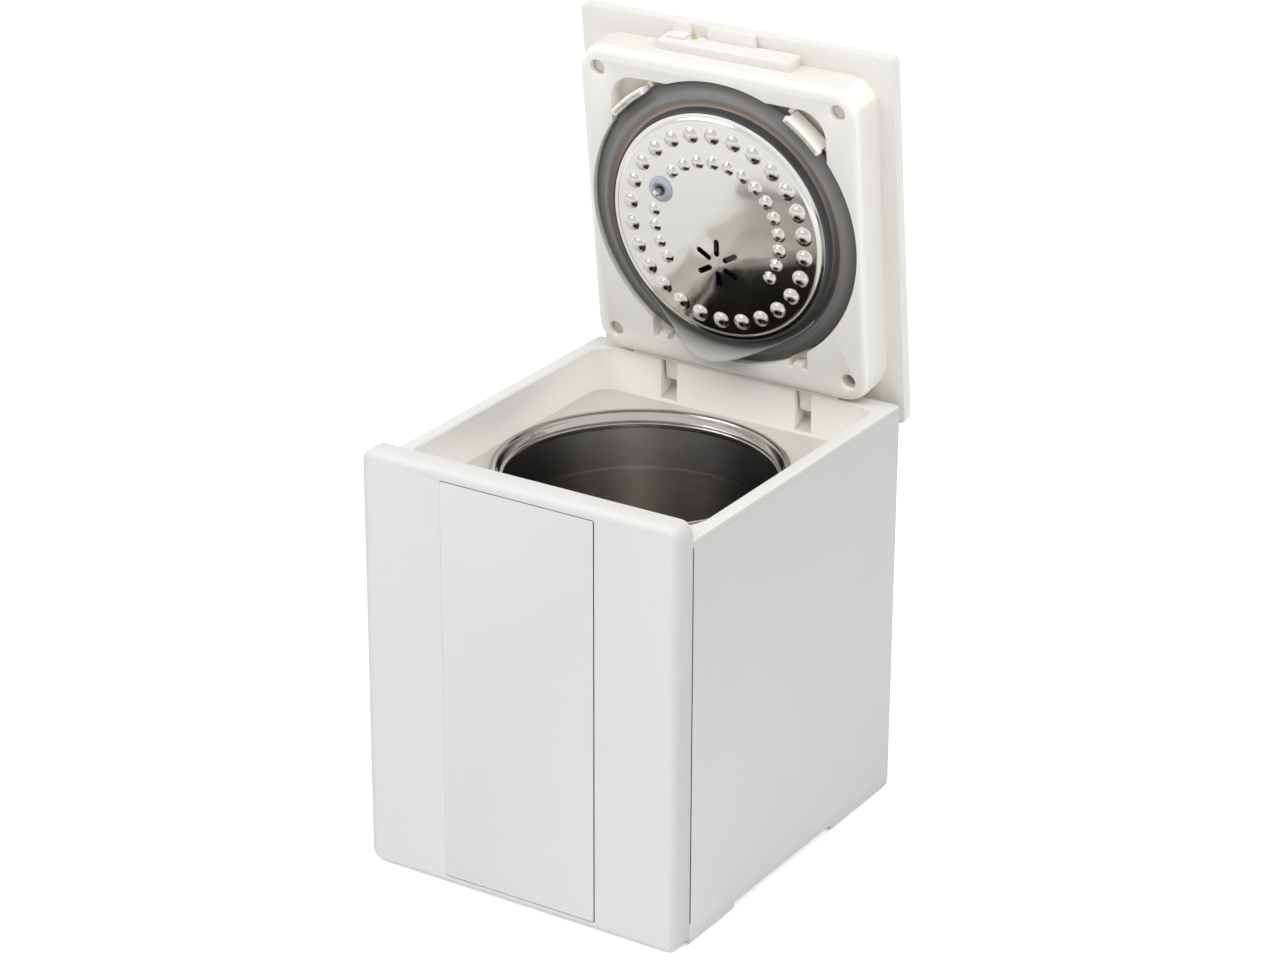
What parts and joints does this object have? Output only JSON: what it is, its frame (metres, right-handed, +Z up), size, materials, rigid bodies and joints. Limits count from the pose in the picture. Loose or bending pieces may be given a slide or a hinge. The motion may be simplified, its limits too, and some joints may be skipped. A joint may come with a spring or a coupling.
{
  "type": "rice cooker",
  "caption": "Box-shaped electric rice cooker with a hinged lid, removable inner lid and lift-out pot, shown with its lid open.",
  "frame": {"origin": "on the floor, in the middle of the open cooker's box", "axes": "+Z up, +Y from the front panel to the hinge, +X to the right seen from the front"},
  "size_m": [0.19, 0.236, 0.42],
  "materials": {
    "white_shell": "smooth white moulding, faint sheen",
    "window": "smooth pale touch window",
    "ivory": "warm white moulding",
    "steel_mirror": "polished stainless",
    "pot_metal": "polished rim, dark coated inside",
    "gasket": "satin grey silicone",
    "grommet": "translucent grey silicone",
    "dark_rubber": "matt dark rubber",
    "screws": "plated steel",
    "sheet_metal": "plain sheet",
    "element": "dark sheath",
    "boards": "green board",
    "components": "black components",
    "brass": "bright brass",
    "felt": "pale felt",
    "duct": "pale grey moulding"
  },
  "bodies": {
    "body": {"base_pan": "white_shell", "rubber_feet": "dark_rubber", "base_screws": "screws", "body_shell": "white_shell", "front_panel": "white_shell", "touch_panel": "window", "display_board": "boards", "display_module": "components", "panel_screws": "screws", "upper_frame": "ivory", "pot_seat_ring": "ivory", "pot_well": "sheet_metal", "side_heater_band": "sheet_metal", "heater_plate": "sheet_metal", "heater_element": "element", "heater_posts": "sheet_metal", "sensor_guide": "components", "sensor_spring": "screws", "thermal_fuse": "element", "main_board": "boards", "board_parts": "components", "buzzer": "components", "power_inlet": "components", "inlet_prongs": "brass", "hinge_pins": "screws", "lid_spring": "screws", "latch_strike": "screws"},
    "sensor": {"sensor_cap": "sheet_metal", "sensor_stem": "screws"},
    "cooking_pot": {"pot": "pot_metal"},
    "lid": {"lid_cover": "white_shell", "lid_base": "ivory", "lid_frame": "ivory", "lid_screws": "screws", "lid_heater_plate": "sheet_metal", "lid_insulation": "felt", "steam_duct": "duct", "lid_probe": "screws", "latch_housing": "ivory", "latch_contact": "brass", "latch_springs": "screws", "catch_pins": "screws"},
    "inner_lid": {"inner_lid_disc": "steel_mirror", "inner_lid_gasket": "gasket", "probe_grommet": "grommet"},
    "left_catch": {"catch_left": "ivory"},
    "right_catch": {"catch_right": "ivory"},
    "button": {"release_button": "white_shell"},
    "hook": {"latch_hook": "ivory"},
    "cap": {"steam_cap": "white_shell", "steam_cap_seal": "dark_rubber"}
  },
  "joints": [
    {"name": "lid_hinge", "type": "hinge", "parent": "body", "child": "lid", "pos_m": [0, 0.099, 0.216], "axis": [-1, 0, 0], "range_deg": [-83, 0], "stiffness_Nm_per_rad": 0.8, "springref_deg": 17.19},
    {"name": "pot_lift", "type": "slide", "parent": "body", "child": "cooking_pot", "axis": [0, -0.1219, 0.9925], "range_m": [0, 0.32]},
    {"name": "sensor_press", "type": "slide", "parent": "body", "child": "sensor", "axis": [0, 0, 1], "range_m": [-0.0025, 0], "stiffness_N_per_m": 200, "springref_m": 0.003, "deforming": ["sensor_spring"]},
    {"name": "inner_lid_off", "type": "slide", "parent": "lid", "child": "inner_lid", "axis": [0, -0.9925, -0.1219], "range_m": [0, 0.03]},
    {"name": "left_catch_swing", "type": "hinge", "parent": "lid", "child": "left_catch", "pos_m": [-0.05289, 0.07671, 0.37864], "axis": [-0.7615, 0.079, -0.6433], "range_deg": [0, 8], "stiffness_Nm_per_rad": 0.02, "springref_deg": -11.46},
    {"name": "right_catch_swing", "type": "hinge", "parent": "lid", "child": "right_catch", "pos_m": [0.05289, 0.07671, 0.37864], "axis": [-0.7615, -0.079, 0.6433], "range_deg": [0, 8], "stiffness_Nm_per_rad": 0.02, "springref_deg": -11.46},
    {"name": "button_press", "type": "slide", "parent": "lid", "child": "button", "axis": [0, -0.9925, -0.1219], "range_m": [0, 0.002], "stiffness_N_per_m": 300, "springref_m": -0.001},
    {"name": "hook_draw", "type": "slide", "parent": "lid", "child": "hook", "axis": [0, 0.1219, -0.9925], "range_m": [0, 0.002]},
    {"name": "steam_cap_off", "type": "slide", "parent": "lid", "child": "cap", "axis": [0, 0.9925, 0.1219], "range_m": [0, 0.03]}
  ],
  "couplings": [
    {"joint": "hook_draw", "follows": "button_press", "ratio": 1}
  ]
}
